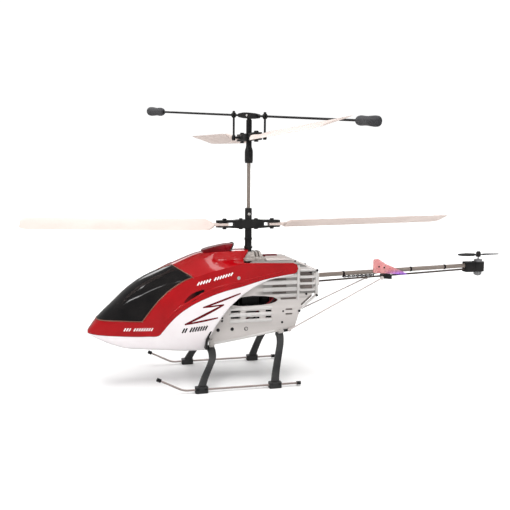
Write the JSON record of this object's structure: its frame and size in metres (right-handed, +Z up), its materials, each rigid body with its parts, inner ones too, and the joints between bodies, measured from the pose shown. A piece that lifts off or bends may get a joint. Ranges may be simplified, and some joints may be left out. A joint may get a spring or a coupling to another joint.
{
  "type": "remote control coaxial helicopter",
  "caption": "Toy coaxial helicopter: contra-rotating rotors on one mast, teetering flybar, moulded canopy, pressed metal frame, tail boom with small rotor, wire skids.",
  "frame": {"origin": "centre of the overall box, on the ground under the skid clamps", "axes": "+X towards the nose, +Y to the helicopter's left, +Z up along the mast"},
  "size_m": [0.577, 0.5008, 0.318],
  "materials": {
    "canopy_red": "glossy moulded plastic, red above and white below",
    "window_smoke": "glossy near-black moulding",
    "scoop_red": "glossy dark red",
    "frame_aluminium": "pressed sheet, satin",
    "cover_clear": "frosted clear plastic",
    "black_plastic": "satin black moulding",
    "motor_can": "dark plated can",
    "battery_wrap": "shrink wrap",
    "board_green": "circuit board",
    "switch_grey": "plain grey moulding",
    "shaft_steel": "ground rod",
    "gear_white": "moulded nylon",
    "pinion_brass": "cut brass",
    "blade_white": "cream white moulding",
    "bolt_steel": "blackened screw",
    "weight_rubber": "dark rubbery plug",
    "boom_grey": "warm grey tube",
    "fin_pink": "translucent pink sheet",
    "skid_grey": "bare wire",
    "tail_motor_can": "plated can"
  },
  "bodies": {
    "airframe": {"canopy_shell": "canopy_red", "canopy_window": "window_smoke", "roof_scoop": "scoop_red", "side_frame_left": "frame_aluminium", "side_frame_right": "frame_aluminium", "rear_bulkhead": "frame_aluminium", "top_cover": "cover_clear", "mast_bearing_housing": "cover_clear", "chassis_deck": "black_plastic", "battery_pack": "battery_wrap", "receiver_board": "board_green", "gear_plate": "black_plastic", "motor_front": "motor_can", "motor_rear": "motor_can", "switch_housing": "black_plastic", "boom_tube": "boom_grey", "boom_rod": "boom_grey", "boom_socket": "cover_clear", "boom_clamp": "black_plastic", "boom_fin": "fin_pink", "brace_left": "boom_grey", "brace_right": "boom_grey", "tail_motor_mount": "black_plastic", "tail_motor": "tail_motor_can", "leg_front_left": "black_plastic", "leg_front_right": "black_plastic", "leg_rear_left": "black_plastic", "leg_rear_right": "black_plastic", "skid_left": "skid_grey", "skid_right": "skid_grey", "skid_cap_front_left": "black_plastic", "skid_cap_front_right": "black_plastic", "skid_cap_rear_left": "black_plastic", "skid_cap_rear_right": "black_plastic"},
    "switch_slider": {"switch_slider": "switch_grey"},
    "upper_rotor": {"inner_shaft": "shaft_steel", "inner_gear": "gear_white", "rotor_head": "black_plastic"},
    "upper_yoke": {"upper_yoke": "black_plastic", "upper_bolt_left": "bolt_steel", "upper_bolt_right": "bolt_steel"},
    "upper_blade_left": {"upper_blade_left": "blade_white"},
    "upper_blade_right": {"upper_blade_right": "blade_white"},
    "flybar": {"flybar_hub": "black_plastic", "flybar_rod_left": "black_plastic", "flybar_rod_right": "black_plastic", "flybar_weight_left": "weight_rubber", "flybar_weight_right": "weight_rubber"},
    "flybar_link_left": {"flybar_link_left": "black_plastic"},
    "flybar_link_right": {"flybar_link_right": "black_plastic"},
    "lower_rotor": {"outer_shaft": "black_plastic", "outer_gear": "gear_white", "lower_yoke": "black_plastic", "lower_bolt_front": "bolt_steel", "lower_bolt_rear": "bolt_steel"},
    "lower_blade_front": {"lower_blade_front": "blade_white"},
    "lower_blade_rear": {"lower_blade_rear": "blade_white"},
    "pinion_front": {"pinion_front": "pinion_brass"},
    "pinion_rear": {"pinion_rear": "pinion_brass"},
    "tail_rotor": {"tail_rotor": "black_plastic"}
  },
  "joints": [
    {"name": "upper_rotor_spin", "type": "hinge", "parent": "airframe", "child": "upper_rotor", "pos_m": [0.0385, 0, 0.277], "axis": [0, 0, 1], "continuous": true},
    {"name": "lower_rotor_spin", "type": "hinge", "parent": "airframe", "child": "lower_rotor", "pos_m": [0.0385, 0, 0.1782], "axis": [0, 0, 1], "continuous": true},
    {"name": "pinion_front_spin", "type": "hinge", "parent": "airframe", "child": "pinion_front", "pos_m": [0.0595, 0, 0.1055], "axis": [0, 0, 1], "continuous": true},
    {"name": "pinion_rear_spin", "type": "hinge", "parent": "airframe", "child": "pinion_rear", "pos_m": [0.0175, 0, 0.119], "axis": [0, 0, 1], "continuous": true},
    {"name": "flybar_teeter", "type": "hinge", "parent": "upper_rotor", "child": "flybar", "pos_m": [0.0385, 0, 0.301], "axis": [-0.7986, -0.6018, 0], "range_deg": [-8, 8]},
    {"name": "upper_yoke_pitch", "type": "hinge", "parent": "upper_rotor", "child": "upper_yoke", "pos_m": [0.0385, 0, 0.277], "axis": [-0.061, 0.9981, 0], "range_deg": [-14.6, 14.6]},
    {"name": "link_left_pivot", "type": "hinge", "parent": "flybar", "child": "flybar_link_left", "pos_m": [0.02469, 0.01832, 0.2994], "axis": [-0.7986, -0.6018, 0], "range_deg": [-8, 8]},
    {"name": "link_right_pivot", "type": "hinge", "parent": "flybar", "child": "flybar_link_right", "pos_m": [0.05231, -0.01832, 0.3026], "axis": [-0.7986, -0.6018, 0], "range_deg": [-8, 8]},
    {"name": "upper_blade_left_swing", "type": "hinge", "parent": "upper_yoke", "child": "upper_blade_left", "pos_m": [0.03679, 0.02795, 0.277], "axis": [0, 0, 1], "range_deg": [-15, 15]},
    {"name": "upper_blade_right_swing", "type": "hinge", "parent": "upper_yoke", "child": "upper_blade_right", "pos_m": [0.04021, -0.02795, 0.277], "axis": [0, 0, 1], "range_deg": [-15, 15]},
    {"name": "lower_blade_front_swing", "type": "hinge", "parent": "lower_rotor", "child": "lower_blade_front", "pos_m": [0.0665, 0, 0.1782], "axis": [0, 0, 1], "range_deg": [-15, 15]},
    {"name": "lower_blade_rear_swing", "type": "hinge", "parent": "lower_rotor", "child": "lower_blade_rear", "pos_m": [0.0105, 0, 0.1782], "axis": [0, 0, 1], "range_deg": [-15, 15]},
    {"name": "tail_rotor_spin", "type": "hinge", "parent": "airframe", "child": "tail_rotor", "pos_m": [-0.2605, 0, 0.136], "axis": [0, 0, 1], "continuous": true},
    {"name": "power_switch_slide", "type": "slide", "parent": "airframe", "child": "switch_slider", "axis": [1, 0, 0], "range_m": [0, 0.004]}
  ],
  "couplings": [
    {"joint": "pinion_front_spin", "follows": "upper_rotor_spin", "ratio": -6},
    {"joint": "pinion_rear_spin", "follows": "lower_rotor_spin", "ratio": -6},
    {"joint": "upper_yoke_pitch", "follows": "flybar_teeter", "ratio": -1.8118},
    {"joint": "link_left_pivot", "follows": "flybar_teeter", "ratio": -1},
    {"joint": "link_right_pivot", "follows": "flybar_teeter", "ratio": -1}
  ]
}
